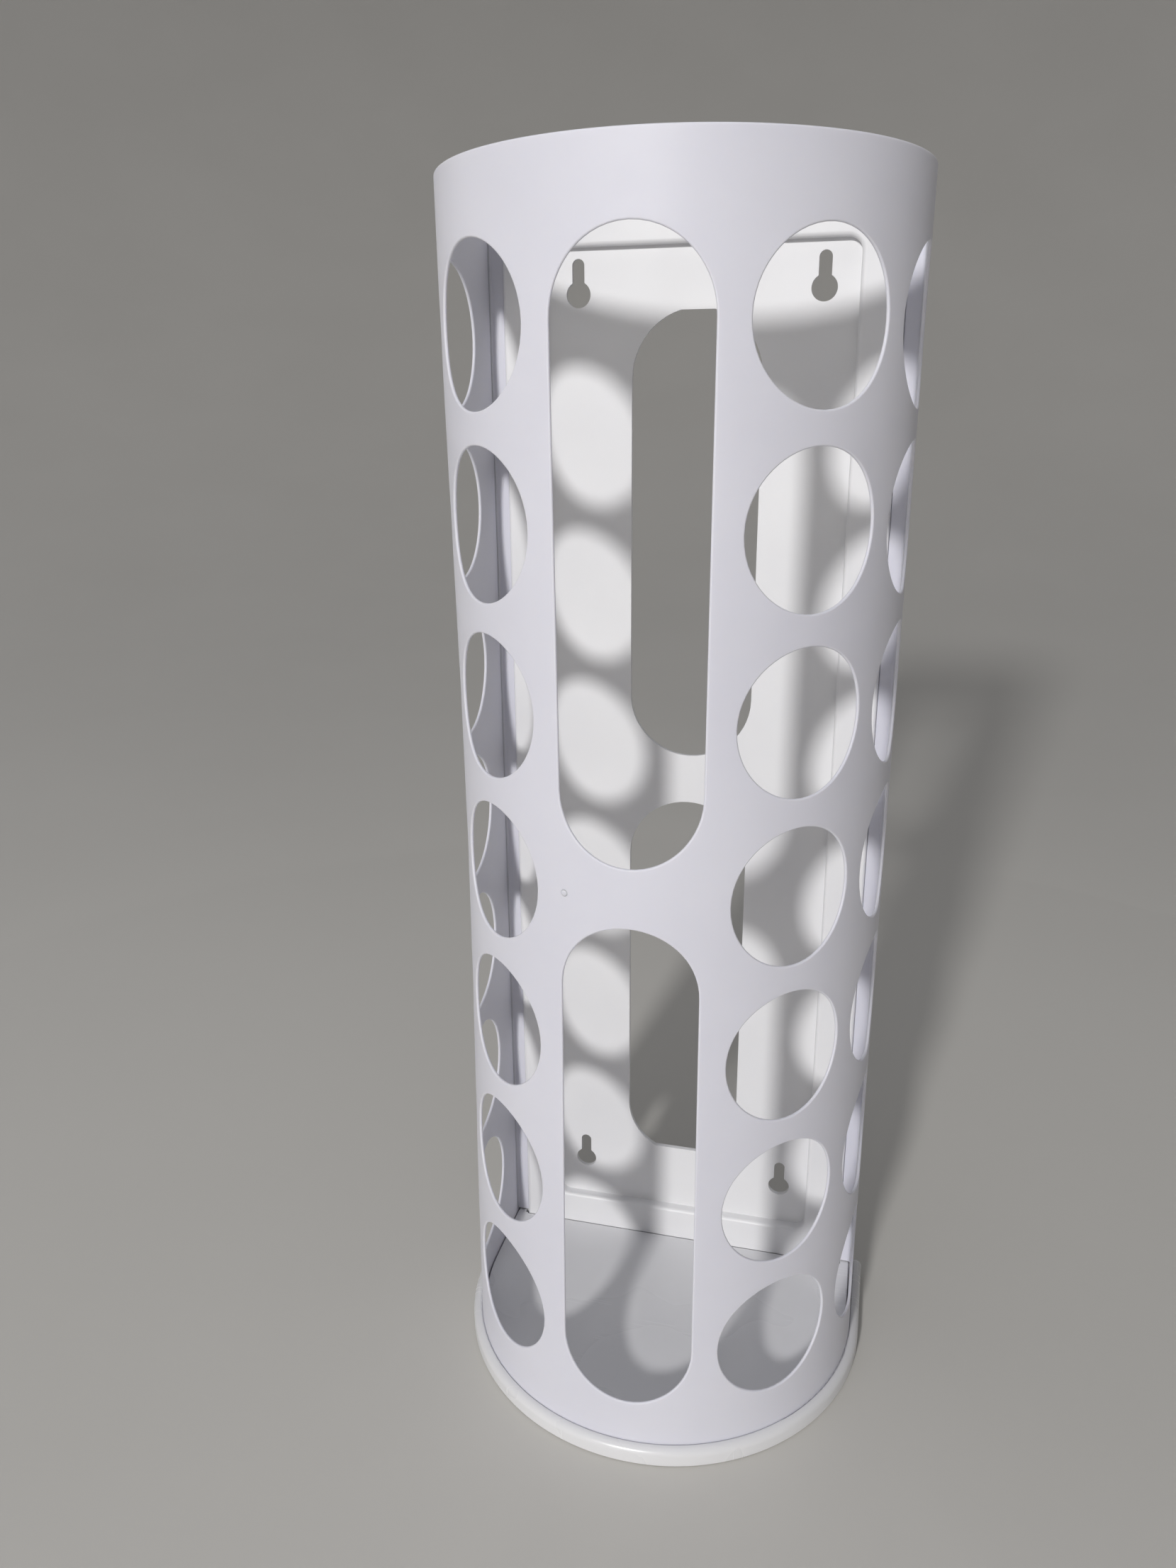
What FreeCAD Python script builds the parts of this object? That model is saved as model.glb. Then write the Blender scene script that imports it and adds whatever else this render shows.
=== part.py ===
"""Carrier-bag dispenser: a bent front sheet clipped to a wall panel with a fold-down base.

Frame: X across, +Y towards the wall, +Z up. The origin is the bottom centre of the whole
object and all sizes are in millimetres. "Forward" is the distance from the wall plane
towards the front, so a point that is `f` forward has y = WALL_Y - f.
"""
import FreeCAD
import Part
import math
import os

# ---------------------------------------------------------------- driving dimensions
HEIGHT = 450.0                 # floor to the top of the front sheet
SHEET_RADIUS = 80.0            # outer radius of the rounded front
SIDE_LENGTH = 40.0             # straight side, from the wall plane to the rounded front
SHEET_THICKNESS = 1.2
CLEARANCE = 0.3                # running gap between neighbouring pieces

# Pattern of the front sheet. Distances run round the outer face of the bent sheet.
HOLE_RADIUS = 24.5
HOLE_PITCH = 59.0              # row to row and column to column
HOLE_ROWS = 7
HOLE_COLUMNS = (1, 2)          # columns each side of the centre line, in pitches
MIDDLE_ROW_Z = 226.0
BAR_Z = 228.5                  # centre of the bar between the two front slots
BAR_HEIGHT = 21.0

# Flanges that turn inward near the rear edges of the sheet and lie in front of the panel.
FLANGE_FORWARD = 4.5           # wall plane to the front face of a flange
FLANGE_RISE = 0.8              # tray floor to the foot of a flange
FLANGE_TOP_Z = 446.0
FLANGE_COVE = 1.2              # fillet between a flange and the sheet's side

# Snap tabs behind the flanges, level with every second row of holes.
TAB_ROWS = (-3, -1, 1, 3)
TAB_HEIGHT = 14.0
TAB_RANGE_X = (74.8, 76.8)     # distances from the middle plane
TAB_FORWARD = 0.5              # wall plane to the end of a tab

# Base tray.
RIM_WIDTH = 4.0                # the bead stands this far outside the sheet
RIM_HEIGHT = 7.0
RIM_FILLET = 2.8
TRAY_FILLET = 0.6              # the tray's other exposed edges
GROOVE_Z = 3.0                 # bottom of the groove that takes the sheet
FLOOR_Z = 8.5                  # top of the tray floor
FLOOR_THICKNESS = 2.5
NOTCH_WIDTH = 2.2              # small opening at each end of the fold line
NOTCH_FORWARD = (3.6, 6.0)

# Back panel.
PANEL_TOP_Z = 448.0
PLATE_THICKNESS = 2.0          # wall thickness of the whole panel
BORDER_FORWARD = 6.5           # front face of the raised border
BORDER_HALF_WIDTH = 73.2
FIELD_HALF_WIDTH = 57.5
FIELD_BOTTOM_Z = 23.5
FIELD_TOP_Z = 435.0
FIELD_CORNER = 5.0
BORDER_FILLET = 1.4

# Windows in the back panel: stadium shapes whose ends are cut flat.
WINDOW_RADIUS = 24.5
UPPER_WINDOW = (243.0, 413.0)
LOWER_WINDOW = (54.0, 223.0)
FLAT_ABOVE_ARC = 0.8           # how much of the upper window's top arc is cut flat
FLAT_BELOW_ARC = 3.2           # how much of the lower window's bottom arc is cut flat

# Keyholes for the wall screws.
KEYHOLE_X = 45.0
KEYHOLE_Z = (42.0, 419.0)
KEYHOLE_RADIUS = 4.6
KEYSLOT_RADIUS = 2.3
KEYSLOT_RISE = 10.0            # circle centre to the centre of the slot's round end

# Film hinge between the panel and the tray.
FOLD_INSET = 0.7               # fold axis from the wall plane and from the floor
FILM_RADIUS = 0.5
FILM_HALF_LENGTH = 72.0

# ---------------------------------------------------------------- derived dimensions
SHEET_DEPTH = SIDE_LENGTH + SHEET_RADIUS
WALL_Y = (SHEET_DEPTH + RIM_WIDTH) / 2
ARC_Y = WALL_Y - SIDE_LENGTH
INNER_RADIUS = SHEET_RADIUS - SHEET_THICKNESS
PANEL_HALF_WIDTH = INNER_RADIUS - CLEARANCE
SHEET_BOTTOM_Z = GROOVE_Z + CLEARANCE
PANEL_BOTTOM_Z = FOLD_INSET + FILM_RADIUS + CLEARANCE
FAR = 1000.0                   # larger than the whole object


def vec(x, y, z):
    return FreeCAD.Vector(x, y, z)


def forward(distance):
    """The y of a point that stands this far forward of the wall plane."""
    return WALL_Y - distance


def box(x_range, forward_range, z_range):
    """A box from ranges of x, distance forward of the wall plane, and z."""
    x0, x1 = x_range
    f0, f1 = forward_range
    z0, z1 = z_range
    return Part.makeBox(x1 - x0, f1 - f0, z1 - z0, vec(x0, forward(f1), z0))


def u_prism(radius, z0, z1, rear=0.0):
    """A solid with straight sides and a half-round front, concentric with the sheet."""
    y_rear = forward(rear)
    rear_right = vec(radius, y_rear, z0)
    front_right = vec(radius, ARC_Y, z0)
    front_left = vec(-radius, ARC_Y, z0)
    rear_left = vec(-radius, y_rear, z0)
    edges = [
        Part.makeLine(rear_right, front_right),
        Part.Arc(front_right, vec(0, ARC_Y - radius, z0), front_left).toShape(),
        Part.makeLine(front_left, rear_left),
        Part.makeLine(rear_left, rear_right),
    ]
    return Part.Face(Part.Wire(edges)).extrude(vec(0, 0, z1 - z0))


def x_prism(points, half_length):
    """A prism along X from (distance forward, z) corner points."""
    corners = [vec(-half_length, forward(f), z) for f, z in points]
    face = Part.Face(Part.makePolygon(corners + corners[:1]))
    return face.extrude(vec(2 * half_length, 0, 0))


def stadium(x, z0, z1, radius, f0, f1):
    """An upright slot with round ends, cut front to back between two depths."""
    low = z0 + radius
    high = z1 - radius
    rear = forward(f0)
    depth = vec(0, -(f1 - f0), 0)
    edges = [
        Part.makeLine(vec(x + radius, rear, low), vec(x + radius, rear, high)),
        Part.Arc(vec(x + radius, rear, high), vec(x, rear, z1), vec(x - radius, rear, high)).toShape(),
        Part.makeLine(vec(x - radius, rear, high), vec(x - radius, rear, low)),
        Part.Arc(vec(x - radius, rear, low), vec(x, rear, z0), vec(x + radius, rear, low)).toShape(),
    ]
    return Part.Face(Part.Wire(edges)).extrude(depth)


def edges_where(shape, test):
    """The edges of a shape whose bounding box passes the test."""
    return [edge for edge in shape.Edges if test(edge.BoundBox)]


def near(a, b):
    return abs(a - b) < 0.01


# ---------------------------------------------------------------- front sheet
def hole_cutter(distance, z):
    """A round hole at this distance round the sheet from the centre line."""
    angle = distance / SHEET_RADIUS
    outward = vec(math.sin(angle), -math.cos(angle), 0)
    start = vec(0, ARC_Y, z) + outward * (SHEET_RADIUS / 2)
    return Part.makeCylinder(HOLE_RADIUS, SHEET_RADIUS, start, outward)


def front_slots():
    """The two long slots on the centre line, in line with the end rows of holes."""
    half_pattern = (HOLE_ROWS - 1) / 2 * HOLE_PITCH + HOLE_RADIUS
    slot_ranges = (
        (MIDDLE_ROW_Z - half_pattern, BAR_Z - BAR_HEIGHT / 2),
        (BAR_Z + BAR_HEIGHT / 2, MIDDLE_ROW_Z + half_pattern),
    )
    middle = SHEET_DEPTH / 2
    return [stadium(0, z0, z1, HOLE_RADIUS, middle, SHEET_DEPTH + 1) for z0, z1 in slot_ranges]


def mirrored(x_range, side):
    """An x range given as distances from the middle plane, on one side of it."""
    near_x, far_x = x_range
    return (near_x, far_x) if side > 0 else (-far_x, -near_x)


def flange(side):
    """An inward flange along one rear edge, with a cove where it meets the sheet's side."""
    inner = BORDER_HALF_WIDTH + CLEARANCE
    outer = INNER_RADIUS + SHEET_THICKNESS / 2
    z_range = (FLOOR_Z + FLANGE_RISE, FLANGE_TOP_Z)
    depth = (FLANGE_FORWARD - SHEET_THICKNESS, FLANGE_FORWARD)
    strip = box(mirrored((inner, outer), side), depth, z_range)
    fillet_x = INNER_RADIUS - FLANGE_COVE
    cove_depth = (FLANGE_FORWARD, FLANGE_FORWARD + FLANGE_COVE)
    cove = box(mirrored((fillet_x, outer), side), cove_depth, z_range)
    start = vec(side * fillet_x, forward(cove_depth[1]), z_range[0])
    cove = cove.cut(Part.makeCylinder(FLANGE_COVE, z_range[1] - z_range[0], start))
    return strip.fuse(cove)


def snap_tab(side, z):
    """A tab behind a flange that passes through the panel's ledge."""
    depth = (TAB_FORWARD, FLANGE_FORWARD - SHEET_THICKNESS / 2)
    return box(mirrored(TAB_RANGE_X, side), depth, (z - TAB_HEIGHT / 2, z + TAB_HEIGHT / 2))


def tab_heights():
    return [MIDDLE_ROW_Z + row * HOLE_PITCH for row in TAB_ROWS]


def front_sheet():
    shell = u_prism(SHEET_RADIUS, SHEET_BOTTOM_Z, HEIGHT)
    hollow = u_prism(INNER_RADIUS, SHEET_BOTTOM_Z - 1, HEIGHT + 1, rear=-1)
    sheet = shell.cut(hollow)
    cutters = front_slots()
    for row in range(HOLE_ROWS):
        z = MIDDLE_ROW_Z + (row - (HOLE_ROWS - 1) / 2) * HOLE_PITCH
        for column in HOLE_COLUMNS:
            cutters.append(hole_cutter(column * HOLE_PITCH, z))
            cutters.append(hole_cutter(-column * HOLE_PITCH, z))
    sheet = sheet.cut(cutters)
    additions = [flange(side) for side in (-1, 1)]
    additions += [snap_tab(side, z) for side in (-1, 1) for z in tab_heights()]
    return sheet.fuse(additions).removeSplitter()


# ---------------------------------------------------------------- fold line
def mitre_point(distance):
    """A point on the mitre plane, this far up it from the fold axis."""
    run = BORDER_FORWARD - FOLD_INSET
    rise = FLOOR_Z - FOLD_INSET
    length = math.hypot(run, rise)
    return FOLD_INSET + run / length * distance, FOLD_INSET + rise / length * distance


def beyond_mitre(gap, towards_wall):
    """Everything on one side of the mitre plane, at least `gap` away from it."""
    f_low, z_low = mitre_point(-FAR)
    f_high, z_high = mitre_point(FAR)
    sign = -1 if towards_wall else 1
    normal_f = sign * (z_high - z_low) / (2 * FAR)
    normal_z = -sign * (f_high - f_low) / (2 * FAR)
    low, high = (f_low, z_low), (f_high, z_high)
    points = []
    for (f, z), offset in ((low, gap), (high, gap), (high, FAR), (low, FAR)):
        points.append((f + normal_f * offset, z + normal_z * offset))
    return x_prism(points, FAR)


def fold_rod(radius, half_length):
    """A round bar on the fold axis."""
    start = vec(-half_length, forward(FOLD_INSET), FOLD_INSET)
    return Part.makeCylinder(radius, 2 * half_length, start, vec(1, 0, 0))


def hinge_film():
    """The flexible web that joins the panel to the tray, as a round strip on the fold axis."""
    return fold_rod(FILM_RADIUS, FILM_HALF_LENGTH)


# ---------------------------------------------------------------- back panel
def window(z_range, flat_top, flat_bottom):
    """A stadium window with a little of its end arcs cut flat."""
    z0, z1 = z_range
    shape = stadium(0, z0 - flat_bottom, z1 + flat_top, WINDOW_RADIUS, -1, PLATE_THICKNESS + 1)
    keep = box((-WINDOW_RADIUS - 1, WINDOW_RADIUS + 1), (-2, PLATE_THICKNESS + 2), (z0, z1))
    return shape.common(keep)


def keyhole(x, z):
    """A round hole for the screw head with a narrow slot above it."""
    start = vec(x, forward(-1), z)
    head = Part.makeCylinder(KEYHOLE_RADIUS, PLATE_THICKNESS + 2, start, vec(0, -1, 0))
    slot_top = z + KEYSLOT_RISE + KEYSLOT_RADIUS
    slot = stadium(x, z - KEYSLOT_RADIUS, slot_top, KEYSLOT_RADIUS, -1, PLATE_THICKNESS + 1)
    return head.fuse(slot).removeSplitter()


def field_recess():
    """The sunken middle of the panel, with rounded corners."""
    x_range = (-FIELD_HALF_WIDTH, FIELD_HALF_WIDTH)
    block = box(x_range, (PLATE_THICKNESS, BORDER_FORWARD + 1), (FIELD_BOTTOM_Z, FIELD_TOP_Z))
    corners = edges_where(block, lambda b: near(b.XLength, 0) and near(b.ZLength, 0))
    return block.makeFillet(FIELD_CORNER, corners)


def border_channel():
    """The hollow behind the raised border, open towards the wall."""
    wall = PLATE_THICKNESS
    outer_x = BORDER_HALF_WIDTH - wall
    inner_x = FIELD_HALF_WIDTH + wall
    depth = (-1, BORDER_FORWARD - wall)
    outer = box((-outer_x, outer_x), depth, (0, PANEL_TOP_Z - wall))
    inner = box((-inner_x, inner_x), depth, (FIELD_BOTTOM_Z - wall, FIELD_TOP_Z + wall))
    return outer.cut(inner).common(beyond_mitre(CLEARANCE / 2 + wall, True))


def tab_slot(side, z):
    """The slot in the panel's ledge that a snap tab passes through."""
    near_x, far_x = TAB_RANGE_X
    half = TAB_HEIGHT / 2 + CLEARANCE
    x_range = mirrored((near_x - CLEARANCE, far_x + CLEARANCE), side)
    return box(x_range, (-1, PLATE_THICKNESS + 1), (z - half, z + half))


def panel_blank():
    """The panel before its openings are cut: a raised, rounded border, with a ledge each side."""
    x_range = (-BORDER_HALF_WIDTH, BORDER_HALF_WIDTH)
    raised = box(x_range, (0, BORDER_FORWARD), (PANEL_BOTTOM_Z, PANEL_TOP_Z)).cut(field_recess())
    front_y = forward(BORDER_FORWARD)
    rounded = edges_where(raised, lambda b: near(b.YMin, front_y) and near(b.YMax, front_y)
                          and b.ZMax > PANEL_BOTTOM_Z + 1)
    raised = raised.makeFillet(BORDER_FILLET, rounded).common(beyond_mitre(CLEARANCE / 2, True))
    ledge_x = (-PANEL_HALF_WIDTH, PANEL_HALF_WIDTH)
    plate = box(ledge_x, (0, PLATE_THICKNESS), (FLOOR_Z + CLEARANCE, PANEL_TOP_Z))
    return raised.fuse(plate)


def back_panel():
    blank = panel_blank()
    cutters = [window(UPPER_WINDOW, FLAT_ABOVE_ARC, 0), window(LOWER_WINDOW, 0, FLAT_BELOW_ARC)]
    cutters += [keyhole(side * KEYHOLE_X, z) for side in (-1, 1) for z in KEYHOLE_Z]
    cutters += [tab_slot(side, z) for side in (-1, 1) for z in tab_heights()]
    cutters.append(border_channel())
    cutters.append(fold_rod(FILM_RADIUS + CLEARANCE, FAR))
    return blank.cut(cutters).removeSplitter()


# ---------------------------------------------------------------- base tray
def rim():
    """The bead round the outside and the groove bed that the sheet stands in."""
    bead = u_prism(SHEET_RADIUS + RIM_WIDTH, 0, RIM_HEIGHT)
    on_curve = WALL_Y - 1
    top_edges = edges_where(bead, lambda b: near(b.ZMin, RIM_HEIGHT) and b.YMin < on_curve)
    bead = bead.makeFillet(RIM_FILLET, top_edges)
    low_edges = edges_where(bead, lambda b: near(b.ZMax, 0) and b.YMin < on_curve)
    bead = bead.makeFillet(TRAY_FILLET, low_edges)
    well = u_prism(SHEET_RADIUS + CLEARANCE, GROOVE_Z, RIM_HEIGHT + 1, rear=-1)
    bead = bead.cut(well)
    lip_x = SHEET_RADIUS + CLEARANCE
    lip = edges_where(bead, lambda b: near(b.ZMin, RIM_HEIGHT) and b.YMin > ARC_Y - lip_x - 0.1
                      and b.XMax < lip_x + 0.1 and b.XMin > -lip_x - 0.1)
    return bead.makeFillet(TRAY_FILLET, lip)


def plug():
    """The raised floor that fills the bottom of the sheet, cut back along the mitre for the panel."""
    block = u_prism(PANEL_HALF_WIDTH, 0, FLOOR_Z)
    top_edges = edges_where(block, lambda b: near(b.ZMin, FLOOR_Z) and b.YMin < WALL_Y - 1)
    block = block.makeFillet(TRAY_FILLET, top_edges)
    return block.cut(panel_space(BORDER_FORWARD + 1).cut(beyond_mitre(CLEARANCE / 2, False)))


def panel_space(depth):
    """The room at the rear of the tray that the foot of the panel's border takes."""
    half = BORDER_HALF_WIDTH + CLEARANCE
    return box((-half, half), (-1, depth), (-1, FLOOR_Z + 1))


def underside_hollow():
    hollow = u_prism(PANEL_HALF_WIDTH - FLOOR_THICKNESS, -1, FLOOR_Z - FLOOR_THICKNESS)
    return hollow.common(beyond_mitre(CLEARANCE / 2 + FLOOR_THICKNESS, False))


def end_notch(side):
    """The small opening at one end of the fold line."""
    outer = BORDER_HALF_WIDTH + CLEARANCE + NOTCH_WIDTH / 2
    return box(mirrored((outer - NOTCH_WIDTH, outer), side), NOTCH_FORWARD, (-1, FLOOR_Z + 1))


def base_tray():
    tray = rim().cut(panel_space(BORDER_FORWARD))
    tray = tray.fuse(plug())
    cutters = [underside_hollow(), end_notch(-1), end_notch(1)]
    cutters.append(fold_rod(FILM_RADIUS + CLEARANCE, FILM_HALF_LENGTH + CLEARANCE))
    return tray.cut(cutters).removeSplitter()


# ---------------------------------------------------------------- export
PARTS = {
    "front_sheet": front_sheet,
    "back_panel": back_panel,
    "base_tray": base_tray,
    "hinge_film": hinge_film,
}

os.makedirs("parts", exist_ok=True)
for name, make in PARTS.items():
    shape = make()
    print(name, shape.ShapeType, "solids", len(shape.Solids), "valid", shape.isValid(), shape.BoundBox)
    if len(shape.Solids) == 1:
        shape = shape.Solids[0]
    shape.exportStep("parts/" + name + ".step")
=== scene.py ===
"""Looks for the carrier-bag dispenser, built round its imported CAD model.

Frame: X across, +Y towards the wall, +Z up, the origin at the bottom centre, in metres.
The front sheet is drawn flat, as (distance round the sheet, height, depth below its outer
face), and then bent round the base.
"""
import math

import bmesh
import bpy
from mathutils import Matrix, Vector


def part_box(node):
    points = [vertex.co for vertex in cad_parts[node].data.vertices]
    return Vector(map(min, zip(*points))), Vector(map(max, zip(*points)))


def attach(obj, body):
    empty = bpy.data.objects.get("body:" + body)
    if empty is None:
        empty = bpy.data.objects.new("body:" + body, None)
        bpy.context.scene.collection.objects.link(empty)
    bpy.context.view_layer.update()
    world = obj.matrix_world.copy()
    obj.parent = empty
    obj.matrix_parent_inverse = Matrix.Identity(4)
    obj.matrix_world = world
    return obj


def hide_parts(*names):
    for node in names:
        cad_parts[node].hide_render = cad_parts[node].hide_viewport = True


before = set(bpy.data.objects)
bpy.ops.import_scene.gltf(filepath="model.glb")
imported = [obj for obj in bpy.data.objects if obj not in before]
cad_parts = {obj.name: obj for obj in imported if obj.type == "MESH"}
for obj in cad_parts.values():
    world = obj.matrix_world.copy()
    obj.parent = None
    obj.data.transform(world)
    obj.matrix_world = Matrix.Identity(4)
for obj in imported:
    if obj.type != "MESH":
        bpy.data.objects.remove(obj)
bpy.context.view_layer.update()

MM = 0.001

# ---------------------------------------------------------------- sizes of the front sheet
SHEET_LOW, SHEET_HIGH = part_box("front_sheet")
SHEET_RADIUS = SHEET_HIGH.x
ARC_Y = SHEET_LOW.y + SHEET_RADIUS
WALL_Y = SHEET_HIGH.y
QUARTER_TURN = SHEET_RADIUS * math.pi / 2
HALF_LENGTH = QUARTER_TURN + WALL_Y - ARC_Y      # centre line to a rear edge, round the sheet
THICKNESS = 1.2 * MM
HOLE_RADIUS = 24.5 * MM
PITCH = 59.0 * MM
ROWS = (-3, -2, -1, 0, 1, 2, 3)
COLUMNS = (-2, -1, 1, 2)
MIDDLE_ROW_Z = 226.0 * MM
SLOT_RANGES = ((24.5 * MM, 218.0 * MM), (239.0 * MM, 427.5 * MM))
CELL_STEPS = 16                # mesh steps along one side of a hole's square
STEP = PITCH / CELL_STEPS
PATTERN_LOW = MIDDLE_ROW_Z - 3.5 * PITCH
PATTERN_HIGH = MIDDLE_ROW_Z + 3.5 * PITCH
BAR_Z = (SLOT_RANGES[0][1] + SLOT_RANGES[1][0]) / 2
SLOT_SPLIT_Z = PATTERN_LOW + round((BAR_Z - PATTERN_LOW) / STEP) * STEP     # the grid line nearest the bar
CORNER_RADIUS = 3.0 * MM
EDGE_RADIUS = THICKNESS / 2       # the edges are fully rounded
EDGE_STEPS = 8
FACE_RINGS = 3
WAIST = 2.0 * MM               # how far the sides of the bent sheet draw in at mid-height
WAIST_LOW_Z = 8.0 * MM
WAIST_REAR = (12.0 * MM, 60.0 * MM)      # straight strip at a rear edge, and the length that eases in
SEAT = 0.22 * MM               # how far the foot of the sheet presses out against the base's bead
SEAT_RANGE_Z = (7.5 * MM, 16.0 * MM)
SEAT_REAR = (8.0 * MM, 30.0 * MM)

# Flanges, snap tabs and the moulding mark, whose profile is (radius, height) in millimetres.
FLANGE_INNER_X = 73.25 * MM
FLANGE_FRONT_Y = WALL_Y - 4.5 * MM
FLANGE_RANGE_Z = (9.3 * MM, 446.0 * MM)
FLANGE_COVE = 1.2 * MM
TAB_ROWS = (-3, -1, 1, 3)
TAB_SIZE = Vector((2.0, 3.4, 14.0)) * MM
TAB_CENTRE = Vector((75.8, 59.8, 0.0)) * MM
TAB_ROUNDING = 0.4 * MM
MARK_AT = (-23.0 * MM, 227.5 * MM)
MARK_STEPS = 24
MARK_PROFILE = ((1.25, -0.6), (1.2, 0.0), (1.05, 0.18), (0.75, 0.3), (0.4, 0.36), (0.0, 0.38))

# ---------------------------------------------------------------- camera
CAMERA_TARGET = Vector((-27.35, 0.0, 248.04)) * MM
CAMERA_DISTANCE = 426.78 * MM
CAMERA_AZIMUTH = math.radians(14.51)
CAMERA_ELEVATION = math.radians(18.15)
CAMERA_ROLL = math.radians(-0.46)
CAMERA_LENS = 26.72            # millimetres, on a 36 mm sensor


def direction(azimuth, elevation):
    """The way out from the object: azimuth 0 is straight out of its front, and turns to its right."""
    return Vector((
        math.sin(azimuth) * math.cos(elevation),
        -math.cos(azimuth) * math.cos(elevation),
        math.sin(elevation),
    ))


def add_camera():
    """The camera, in front of the object, a little to its right and looking down on it."""
    away = direction(CAMERA_AZIMUTH, CAMERA_ELEVATION)
    camera = bpy.data.objects.new("camera", bpy.data.cameras.new("camera"))
    camera.data.lens = CAMERA_LENS
    camera.data.sensor_width = 36.0
    camera.data.clip_start = 0.01
    camera.data.clip_end = 50.0
    facing = (-away).to_track_quat("-Z", "Y").to_matrix().to_4x4()
    camera.matrix_world = (
        Matrix.Translation(CAMERA_TARGET + away * CAMERA_DISTANCE)
        @ facing @ Matrix.Rotation(CAMERA_ROLL, 4, "Z")
    )
    bpy.context.scene.collection.objects.link(camera)
    bpy.context.scene.camera = camera


# ---------------------------------------------------------------- floor and light
FLOOR_RADIUS = 0.6             # the flat part
WALL_RADIUS = 4.6              # the rim of the wall that the floor sweeps up into
WALL_TOP = 3.4
FLOOR_DROP = 0.15 * MM         # keeps the floor just clear of the underside
FLOOR_SEGMENTS = 96
SWEEP_STEPS = 30
LIGHT_TARGET = Vector((0.0, 0.0, 0.22))
KEY_AZIMUTH = math.radians(-8.0)
KEY_ELEVATION = math.radians(22.5)
KEY_DISTANCE = 3.3
KEY_SIZE = 0.28                # small, so that the holes throw clear patches of light
KEY_POWER = 68.0
TOP_PLACE = Vector((-0.3, -0.2, 2.6))
TOP_SIZE = 2.0
TOP_POWER = 7.0
SURROUND = 0.2


def add_floor(material):
    """A round floor whose edge sweeps up into a plain wall all round the object."""
    mesh = bmesh.new()
    turns = [2 * math.pi * i / FLOOR_SEGMENTS for i in range(FLOOR_SEGMENTS)]
    shares = spread(0.0, 1.0, SWEEP_STEPS)
    profile = [(FLOOR_RADIUS + (WALL_RADIUS - FLOOR_RADIUS) * t, WALL_TOP * t ** 3) for t in shares]
    rings = []
    for radius, z in profile:
        rings.append([mesh.verts.new((radius * math.cos(a), radius * math.sin(a), z)) for a in turns])
    mesh.faces.new(rings[0])
    for low, high in zip(rings, rings[1:]):
        for i in range(FLOOR_SEGMENTS):
            j = (i + 1) % FLOOR_SEGMENTS
            mesh.faces.new((low[i], low[j], high[j], high[i])).smooth = True
    data = bpy.data.meshes.new("floor")
    mesh.to_mesh(data)
    floor = bpy.data.objects.new("floor", data)
    floor.location.z = -FLOOR_DROP
    floor.data.materials.append(material)
    bpy.context.scene.collection.objects.link(floor)


def add_area_light(name, place, size, power, colour):
    """A round light of this diameter, turned to the middle of the object."""
    light = bpy.data.lights.new(name, "AREA")
    light.shape = "DISK"
    light.size = size
    light.energy = power
    light.color = colour
    lamp = bpy.data.objects.new(name, light)
    lamp.location = place
    lamp.rotation_euler = (LIGHT_TARGET - place).to_track_quat("-Z", "Y").to_euler()
    bpy.context.scene.collection.objects.link(lamp)


def add_lights():
    """A key from the front left, a broad soft light above and an even surround."""
    key_place = LIGHT_TARGET + direction(KEY_AZIMUTH, KEY_ELEVATION) * KEY_DISTANCE
    add_area_light("key", key_place, KEY_SIZE, KEY_POWER, (1.0, 0.99, 0.985))
    add_area_light("top", TOP_PLACE, TOP_SIZE, TOP_POWER, (0.94, 0.96, 1.0))
    world = bpy.data.worlds.new("studio")
    world.use_nodes = True
    background = world.node_tree.nodes["Background"]
    background.inputs["Color"].default_value = (0.93, 0.94, 1.0, 1.0)
    background.inputs["Strength"].default_value = SURROUND
    bpy.context.scene.world = world


# ---------------------------------------------------------------- materials
PLASTIC_IOR = 1.49
SCATTER = (1.0, 0.95, 0.9)     # red light goes furthest in the plastic


def new_material(name):
    """A new material, its node tree and its Principled shader."""
    material = bpy.data.materials.new(name)
    material.use_nodes = True
    tree = material.node_tree
    return material, tree, tree.nodes["Principled BSDF"]


def noise(tree, scale, detail, stretch=(1.0, 1.0, 1.0)):
    """The height output of a noise texture on object coordinates, stretched per axis."""
    place = tree.nodes.new("ShaderNodeTexCoord")
    mapping = tree.nodes.new("ShaderNodeMapping")
    mapping.inputs["Scale"].default_value = stretch
    texture = tree.nodes.new("ShaderNodeTexNoise")
    texture.inputs["Scale"].default_value = scale
    texture.inputs["Detail"].default_value = detail
    tree.links.new(place.outputs["Object"], mapping.inputs["Vector"])
    tree.links.new(mapping.outputs["Vector"], texture.inputs["Vector"])
    return texture.outputs["Fac"]


def remap(tree, value, source, result):
    """Maps a value from one range to another, clamped."""
    node = tree.nodes.new("ShaderNodeMapRange")
    node.inputs["From Min"].default_value, node.inputs["From Max"].default_value = source
    node.inputs["To Min"].default_value, node.inputs["To Max"].default_value = result
    tree.links.new(value, node.inputs["Value"])
    return node.outputs["Result"]


def combine(tree, operation, a, b):
    """A math node on two values."""
    node = tree.nodes.new("ShaderNodeMath")
    node.operation = operation
    for socket, value in zip(node.inputs, (a, b)):
        if isinstance(value, float):
            socket.default_value = value
        else:
            tree.links.new(value, socket)
    return node.outputs["Value"]


def tint(tree, value, low, high):
    """A colour between two, by a value from 0 to 1."""
    node = tree.nodes.new("ShaderNodeMix")
    node.data_type = "RGBA"
    node.inputs["A"].default_value = (*low, 1.0)
    node.inputs["B"].default_value = (*high, 1.0)
    tree.links.new(value, node.inputs["Factor"])
    return node.outputs["Result"]


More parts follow.
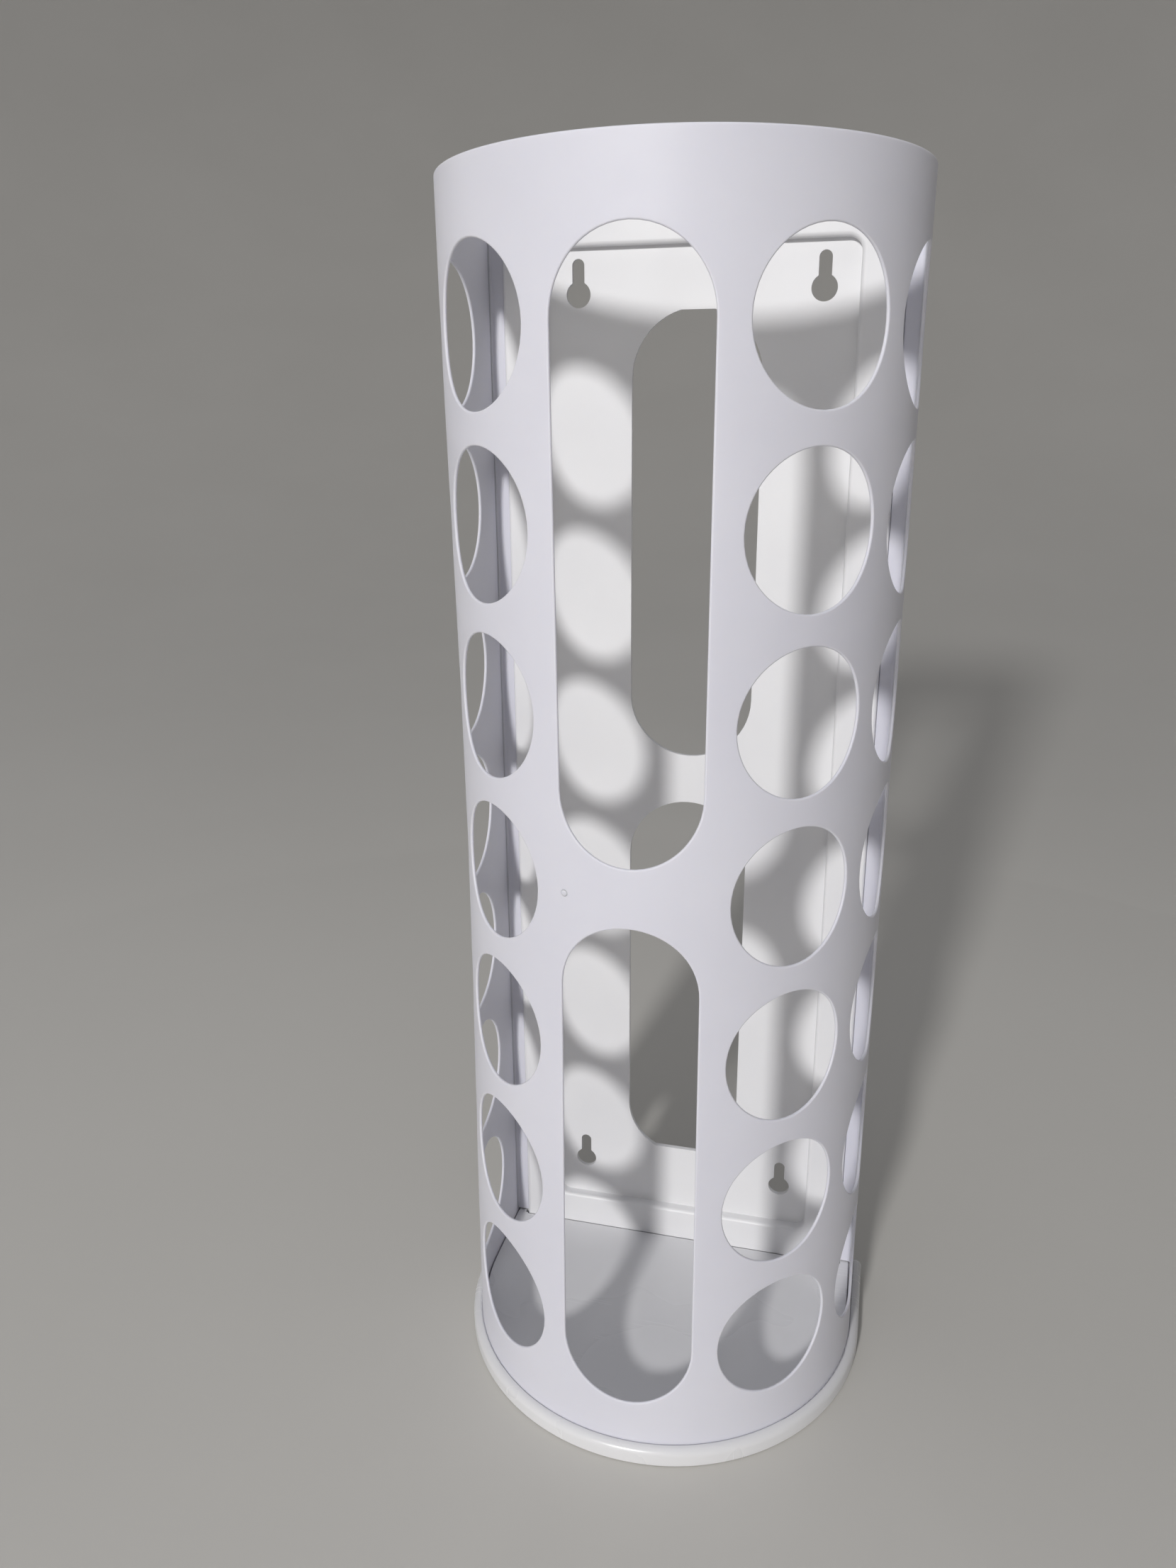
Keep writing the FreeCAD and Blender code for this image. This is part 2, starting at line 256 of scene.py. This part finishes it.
def bump(tree, height, strength, distance, below=None):
    """A bump layer, on top of another one if that is given."""
    node = tree.nodes.new("ShaderNodeBump")
    node.inputs["Strength"].default_value = strength
    node.inputs["Distance"].default_value = distance
    tree.links.new(height, node.inputs["Height"])
    if below is not None:
        tree.links.new(below, node.inputs["Normal"])
    return node.outputs["Normal"]


def satin_plastic(name, shade, light_shade, roughness, glow):
    """Satin polypropylene: a cloudy tone, a fine moulded grain, slight unevenness, a soft inner glow."""
    material, tree, shader = new_material(name)
    cloud = remap(tree, noise(tree, 14.0, 3.0), (0.35, 0.65), (0.0, 1.0))
    tree.links.new(tint(tree, cloud, shade, light_shade), shader.inputs["Base Color"])
    smudge = remap(tree, noise(tree, 38.0, 5.0), (0.3, 0.7), roughness)
    tree.links.new(smudge, shader.inputs["Roughness"])
    ripple = bump(tree, noise(tree, 22.0, 1.0), 0.35, 0.6 * MM)
    grain = bump(tree, noise(tree, 1500.0, 2.0), 0.12, 0.06 * MM, ripple)
    tree.links.new(grain, shader.inputs["Normal"])
    shader.inputs["IOR"].default_value = PLASTIC_IOR
    shader.inputs["Subsurface Weight"].default_value = glow
    shader.inputs["Subsurface Radius"].default_value = SCATTER
    shader.inputs["Subsurface Scale"].default_value = 0.8 * MM
    return material


def gloss_plastic(name, shade, light_shade):
    """Glossy polypropylene with fine straight scuffs that run across the tray."""
    material, tree, shader = new_material(name)
    cloud = remap(tree, noise(tree, 12.0, 2.0), (0.3, 0.7), (0.0, 1.0))
    tree.links.new(tint(tree, cloud, shade, light_shade), shader.inputs["Base Color"])
    lines = remap(tree, noise(tree, 60.0, 2.0, (0.2, 26.0, 1.0)), (0.6, 0.75), (0.0, 1.0))
    where = remap(tree, noise(tree, 14.0, 1.0), (0.4, 0.75), (0.0, 1.0))
    scuffs = combine(tree, "MULTIPLY", lines, where)
    smudge = remap(tree, noise(tree, 20.0, 2.0), (0.3, 0.7), (0.25, 0.31))
    rough = combine(tree, "ADD", smudge, combine(tree, "MULTIPLY", scuffs, 0.12))
    tree.links.new(rough, shader.inputs["Roughness"])
    ripple = bump(tree, noise(tree, 18.0, 1.0), 0.12, 0.4 * MM)
    tree.links.new(bump(tree, scuffs, 0.15, 0.03 * MM, ripple), shader.inputs["Normal"])
    shader.inputs["IOR"].default_value = PLASTIC_IOR
    shader.inputs["Subsurface Weight"].default_value = 0.15
    shader.inputs["Subsurface Radius"].default_value = SCATTER
    shader.inputs["Subsurface Scale"].default_value = 2.0 * MM
    return material


def floor_paper():
    """Pale matt paper with a faint mottle."""
    material, tree, shader = new_material("floor_paper")
    cloud = remap(tree, noise(tree, 3.0, 4.0), (0.3, 0.7), (0.0, 1.0))
    tree.links.new(tint(tree, cloud, (0.60, 0.585, 0.55), (0.62, 0.605, 0.57)), shader.inputs["Base Color"])
    shader.inputs["Roughness"].default_value = 0.85
    tree.links.new(bump(tree, noise(tree, 300.0, 3.0), 0.15, 0.2 * MM), shader.inputs["Normal"])
    return material


# ---------------------------------------------------------------- flat pattern
class Skin:
    """Points of the flat sheet and the faces between them. A point that is named twice is made once."""

    def __init__(self):
        self.points = []
        self.faces = []
        self.index = {}

    def point(self, place):
        key = tuple(round(value, 7) for value in place)
        if key not in self.index:
            self.index[key] = len(self.points)
            self.points.append(place)
        return self.index[key]

    def face(self, *places):
        self.faces.append([self.point(place) for place in places])

    def sleeve(self, loops):
        """Faces between closed loops, each inside the one before it."""
        for outer, inner in zip(loops, loops[1:]):
            for i in range(len(outer)):
                j = (i + 1) % len(outer)
                self.face(outer[i], outer[j], inner[j], inner[i])

    def grid(self, lines_s, lines_z):
        """Both faces of a rectangle of the sheet."""
        for s0, s1 in zip(lines_s, lines_s[1:]):
            for z0, z1 in zip(lines_z, lines_z[1:]):
                corners = ((s0, z0), (s1, z0), (s1, z1), (s0, z1))
                self.face(*[(s, z, 0.0) for s, z in corners])
                self.face(*[(s, z, THICKNESS) for s, z in reversed(corners)])


def spread(start, stop, steps):
    """Evenly spaced values from start to stop."""
    return [start + (stop - start) * i / steps for i in range(steps + 1)]


def edge_profile():
    """(inset, depth) points round the sheet's edge, from the outer face to the inner face."""
    turns = spread(0.0, math.pi, EDGE_STEPS)
    return [(EDGE_RADIUS * (1 - math.sin(a)), EDGE_RADIUS * (1 - math.cos(a))) for a in turns]


def rectangle_loop(lines_s, lines_z):
    """The points round a rectangle, anticlockwise from its lower left corner."""
    low, high = lines_z[0], lines_z[-1]
    left, right = lines_s[0], lines_s[-1]
    loop = [(s, low) for s in lines_s[:-1]]
    loop += [(right, z) for z in lines_z[:-1]]
    loop += [(s, high) for s in reversed(lines_s[1:])]
    loop += [(left, z) for z in reversed(lines_z[1:])]
    return loop


def opening_cell(skin, lines_s, lines_z, centre_s, centre_low, centre_high):
    """A rectangle of the sheet with a round-ended opening, whose end centres are at the two heights."""
    border = rectangle_loop(lines_s, lines_z)

    def opening_loop(inset, depth):
        loop = []
        for s, z in border:
            centre_z = min(max(z, centre_low), centre_high)
            length = math.hypot(s - centre_s, z - centre_z)
            reach = (HOLE_RADIUS + inset) / length
            loop.append((centre_s + (s - centre_s) * reach, centre_z + (z - centre_z) * reach, depth))
        return loop

    def face_rings(depth):
        edge = opening_loop(EDGE_RADIUS, depth)
        rings = []
        for share in spread(0.0, 1.0, FACE_RINGS):
            rings.append([
                (b[0] + (e[0] - b[0]) * share, b[1] + (e[1] - b[1]) * share, depth)
                for b, e in zip(border, edge)
            ])
        return rings

    walls = [opening_loop(inset, depth) for inset, depth in edge_profile()]
    skin.sleeve(face_rings(0.0)[:-1] + walls + face_rings(THICKNESS)[::-1][1:])


def flat_sheet():
    """The whole flat sheet: hole squares, slot columns, plain bands and rear margins."""
    skin = Skin()
    low, high = SHEET_LOW.z, SHEET_HIGH.z
    for row in ROWS:
        z = MIDDLE_ROW_Z + row * PITCH
        lines_z = spread(z - PITCH / 2, z + PITCH / 2, CELL_STEPS)
        for column in COLUMNS:
            s = column * PITCH
            lines_s = spread(s - PITCH / 2, s + PITCH / 2, CELL_STEPS)
            opening_cell(skin, lines_s, lines_z, s, z, z)
    middle_s = spread(-PITCH / 2, PITCH / 2, CELL_STEPS)
    cell_ranges = ((PATTERN_LOW, SLOT_SPLIT_Z), (SLOT_SPLIT_Z, PATTERN_HIGH))
    for (z0, z1), (slot_low, slot_high) in zip(cell_ranges, SLOT_RANGES):
        lines_z = spread(z0, z1, round((z1 - z0) / STEP))
        opening_cell(skin, middle_s, lines_z, 0.0, slot_low + HOLE_RADIUS, slot_high - HOLE_RADIUS)

    pattern_half = 2.5 * PITCH
    margin = spread(pattern_half, HALF_LENGTH - CORNER_RADIUS, 4)
    margin += spread(HALF_LENGTH - CORNER_RADIUS, HALF_LENGTH - EDGE_RADIUS, 4)[1:]
    left_margin = [-s for s in reversed(margin)]
    pattern_s = spread(-pattern_half, pattern_half, 5 * CELL_STEPS)
    pattern_z = spread(PATTERN_LOW, PATTERN_HIGH, 7 * CELL_STEPS)
    foot = spread(low + EDGE_RADIUS, low + CORNER_RADIUS, 4)
    foot += spread(low + CORNER_RADIUS, PATTERN_LOW, 4)[1:]
    head = spread(PATTERN_HIGH, high - CORNER_RADIUS, 4)
    head += spread(high - CORNER_RADIUS, high - EDGE_RADIUS, 4)[1:]
    for lines_s in (left_margin, pattern_s, margin):
        skin.grid(lines_s, foot)
        skin.grid(lines_s, head)
    skin.grid(left_margin, pattern_z)
    skin.grid(margin, pattern_z)

    lines_s = left_margin + pattern_s[1:-1] + margin
    lines_z = foot + pattern_z[1:-1] + head
    flat_limit = HALF_LENGTH - EDGE_RADIUS
    loops = []
    for inset, depth in edge_profile():
        grow = EDGE_RADIUS - inset
        loop = []
        for s, z in rectangle_loop(lines_s, lines_z):
            if abs(abs(s) - flat_limit) < 1e-7:
                s += math.copysign(grow, s)
            if abs(z - lines_z[0]) < 1e-7:
                z -= grow
            elif abs(z - lines_z[-1]) < 1e-7:
                z += grow
            loop.append((s, z, depth))
        loops.append(loop)
    skin.sleeve(loops[::-1])
    return skin


def round_corner(s, z):
    """Moves a point near one of the sheet's four corners so that the corner is round."""
    across = (abs(s) - (HALF_LENGTH - CORNER_RADIUS)) / CORNER_RADIUS
    above = (z - (SHEET_HIGH.z - CORNER_RADIUS)) / CORNER_RADIUS
    below = ((SHEET_LOW.z + CORNER_RADIUS) - z) / CORNER_RADIUS
    along = max(above, below)
    if across <= 0 or along <= 0:
        return s, z
    new_across = across * math.sqrt(1 - along * along / 2)
    new_along = along * math.sqrt(1 - across * across / 2)
    s = math.copysign(abs(s) + (new_across - across) * CORNER_RADIUS, s)
    z += (new_along - along) * CORNER_RADIUS * (1 if above > below else -1)
    return s, z


def share_between(value, low, high):
    """Where a value lies between two others, from 0 to 1 and clamped."""
    return min(max((value - low) / (high - low), 0.0), 1.0)


def ease(share):
    """A share from 0 to 1 that starts and stops gently."""
    return share * share * (3 - 2 * share)


def away_from_rear(s, straight, blend):
    """0 along a strip by each rear edge of the sheet, easing to 1 towards the front."""
    return ease(share_between(HALF_LENGTH - straight - abs(s), 0.0, blend))


def draw_in(s, z):
    """How far the bent sheet bows inward at a point: most at mid-height, nothing at its rear edges."""
    up = share_between(z, WAIST_LOW_Z, SHEET_HIGH.z)
    return WAIST * math.sin(math.pi * up) ** 2 * away_from_rear(s, *WAIST_REAR)


def press_out(s, z):
    """How far the foot of the sheet is pushed outward at a point, round the front only."""
    return SEAT * (1 - ease(share_between(z, *SEAT_RANGE_Z))) * away_from_rear(s, *SEAT_REAR)


def bend(s, z, depth):
    """Where a point of the flat sheet ends up when the sheet is bent round the base."""
    radius = SHEET_RADIUS - depth - draw_in(s, z) + press_out(s, z)
    if abs(s) < QUARTER_TURN:
        angle = s / SHEET_RADIUS
        return Vector((radius * math.sin(angle), ARC_Y - radius * math.cos(angle), z))
    return Vector((math.copysign(radius, s), ARC_Y + abs(s) - QUARTER_TURN, z))


# ---------------------------------------------------------------- small details of the sheet
def flange_outline():
    """(x, y) points round a right-hand flange, with a cove to the sheet's side and a rounded inner edge."""
    inside = SHEET_RADIUS - THICKNESS
    half = THICKNESS / 2
    buried = SHEET_RADIUS - half
    outline = [(buried, FLANGE_FRONT_Y - FLANGE_COVE)]
    for turn in spread(0.0, math.pi / 2, 6):
        outline.append((
            inside - FLANGE_COVE * (1 - math.cos(turn)),
            FLANGE_FRONT_Y - FLANGE_COVE * (1 - math.sin(turn)),
        ))
    for turn in spread(0.0, math.pi, 8):
        outline.append((
            FLANGE_INNER_X + half * (1 - math.sin(turn)),
            FLANGE_FRONT_Y + half * (1 - math.cos(turn)),
        ))
    outline.append((buried, FLANGE_FRONT_Y + THICKNESS))
    return outline


def add_flange(mesh, side):
    """The inward flange along one rear edge of the sheet."""
    heights = spread(*FLANGE_RANGE_Z, 12)
    rings = [[mesh.verts.new((side * x, y, z)) for x, y in flange_outline()] for z in heights]
    if side < 0:
        rings = [ring[::-1] for ring in rings]
    for low, high in zip(rings, rings[1:]):
        for i in range(len(low)):
            j = (i + 1) % len(low)
            mesh.faces.new((low[j], low[i], high[i], high[j]))
    mesh.faces.new(rings[0])
    mesh.faces.new(rings[-1][::-1])


def add_tab(mesh, side, z):
    """A snap tab with softened edges, behind a flange."""
    centre = Vector((side * TAB_CENTRE.x, TAB_CENTRE.y, z))
    place = Matrix.Translation(centre) @ Matrix.Diagonal((*TAB_SIZE, 1.0))
    block = bmesh.ops.create_cube(mesh, size=1.0, matrix=place)
    edges = list({edge for vert in block["verts"] for edge in vert.link_edges})
    bmesh.ops.bevel(mesh, geom=edges, offset=TAB_ROUNDING, segments=3, profile=0.5, affect="EDGES")


def add_moulding_mark(mesh):
    """The small dome that the moulding point leaves on the bar between the slots."""
    s, z = MARK_AT
    centre = bend(s, z, 0.0)
    outward = (centre - Vector((0.0, ARC_Y, z))).normalized()
    facing = outward.to_track_quat("Z", "Y").to_matrix().to_4x4()
    place = Matrix.Translation(centre) @ facing
    turns = [2 * math.pi * i / MARK_STEPS for i in range(MARK_STEPS)]
    rings = []
    for radius, height in MARK_PROFILE[:-1]:
        ring = [Vector((radius * math.cos(a), radius * math.sin(a), height)) * MM for a in turns]
        rings.append([mesh.verts.new(place @ corner) for corner in ring])
    for outer, inner in zip(rings, rings[1:]):
        for i in range(MARK_STEPS):
            j = (i + 1) % MARK_STEPS
            mesh.faces.new((outer[i], outer[j], inner[j], inner[i]))
    top = mesh.verts.new(place @ Vector((0.0, 0.0, MARK_PROFILE[-1][1] * MM)))
    for i in range(MARK_STEPS):
        mesh.faces.new((rings[-1][i], rings[-1][(i + 1) % MARK_STEPS], top))
    mesh.faces.new(rings[0][::-1])


def add_front_sheet(material):
    """The bent sheet with its flanges, tabs and moulding mark, as one piece."""
    skin = flat_sheet()
    mesh = bmesh.new()
    verts = [mesh.verts.new(bend(*round_corner(s, z), depth)) for s, z, depth in skin.points]
    for face in skin.faces:
        mesh.faces.new([verts[i] for i in face])
    for side in (-1, 1):
        add_flange(mesh, side)
        for row in TAB_ROWS:
            add_tab(mesh, side, MIDDLE_ROW_Z + row * PITCH)
    add_moulding_mark(mesh)
    for face in mesh.faces:
        face.smooth = True
    data = bpy.data.meshes.new("bent_sheet")
    mesh.to_mesh(data)
    mesh.free()
    sheet = bpy.data.objects.new("bent_sheet", data)
    sheet.data.materials.append(material)
    bpy.context.scene.collection.objects.link(sheet)
    sheet.modifiers.new("even_normals", "WEIGHTED_NORMAL").keep_sharp = True
    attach(sheet, "dispenser")
    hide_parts("front_sheet")


# ---------------------------------------------------------------- CAD nodes that stay
def finish_node(name, material, softening):
    """Gives a CAD node its material, and softens its sharp edges."""
    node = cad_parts[name]
    node.data.materials.clear()
    node.data.materials.append(material)
    weld = node.modifiers.new("weld", "WELD")
    weld.merge_threshold = 0.002 * MM
    bevel = node.modifiers.new("soft_edges", "BEVEL")
    bevel.width = softening
    bevel.segments = 2
    bevel.limit_method = "ANGLE"
    bevel.angle_limit = math.radians(40.0)
    bevel.harden_normals = True


add_camera()
add_lights()
add_floor(floor_paper())
sheet_plastic = satin_plastic("sheet_plastic", (0.69, 0.69, 0.755), (0.72, 0.72, 0.78), (0.48, 0.6), 0.9)
panel_plastic = satin_plastic("panel_plastic", (0.80, 0.80, 0.815), (0.83, 0.83, 0.84), (0.34, 0.46), 0.3)
tray_plastic = gloss_plastic("tray_plastic", (0.73, 0.73, 0.745), (0.755, 0.755, 0.77))
add_front_sheet(sheet_plastic)
finish_node("back_panel", panel_plastic, 0.25 * MM)
finish_node("base_tray", tray_plastic, 0.2 * MM)
finish_node("hinge_film", panel_plastic, 0.1 * MM)
bpy.context.scene.view_settings.view_transform = "Standard"
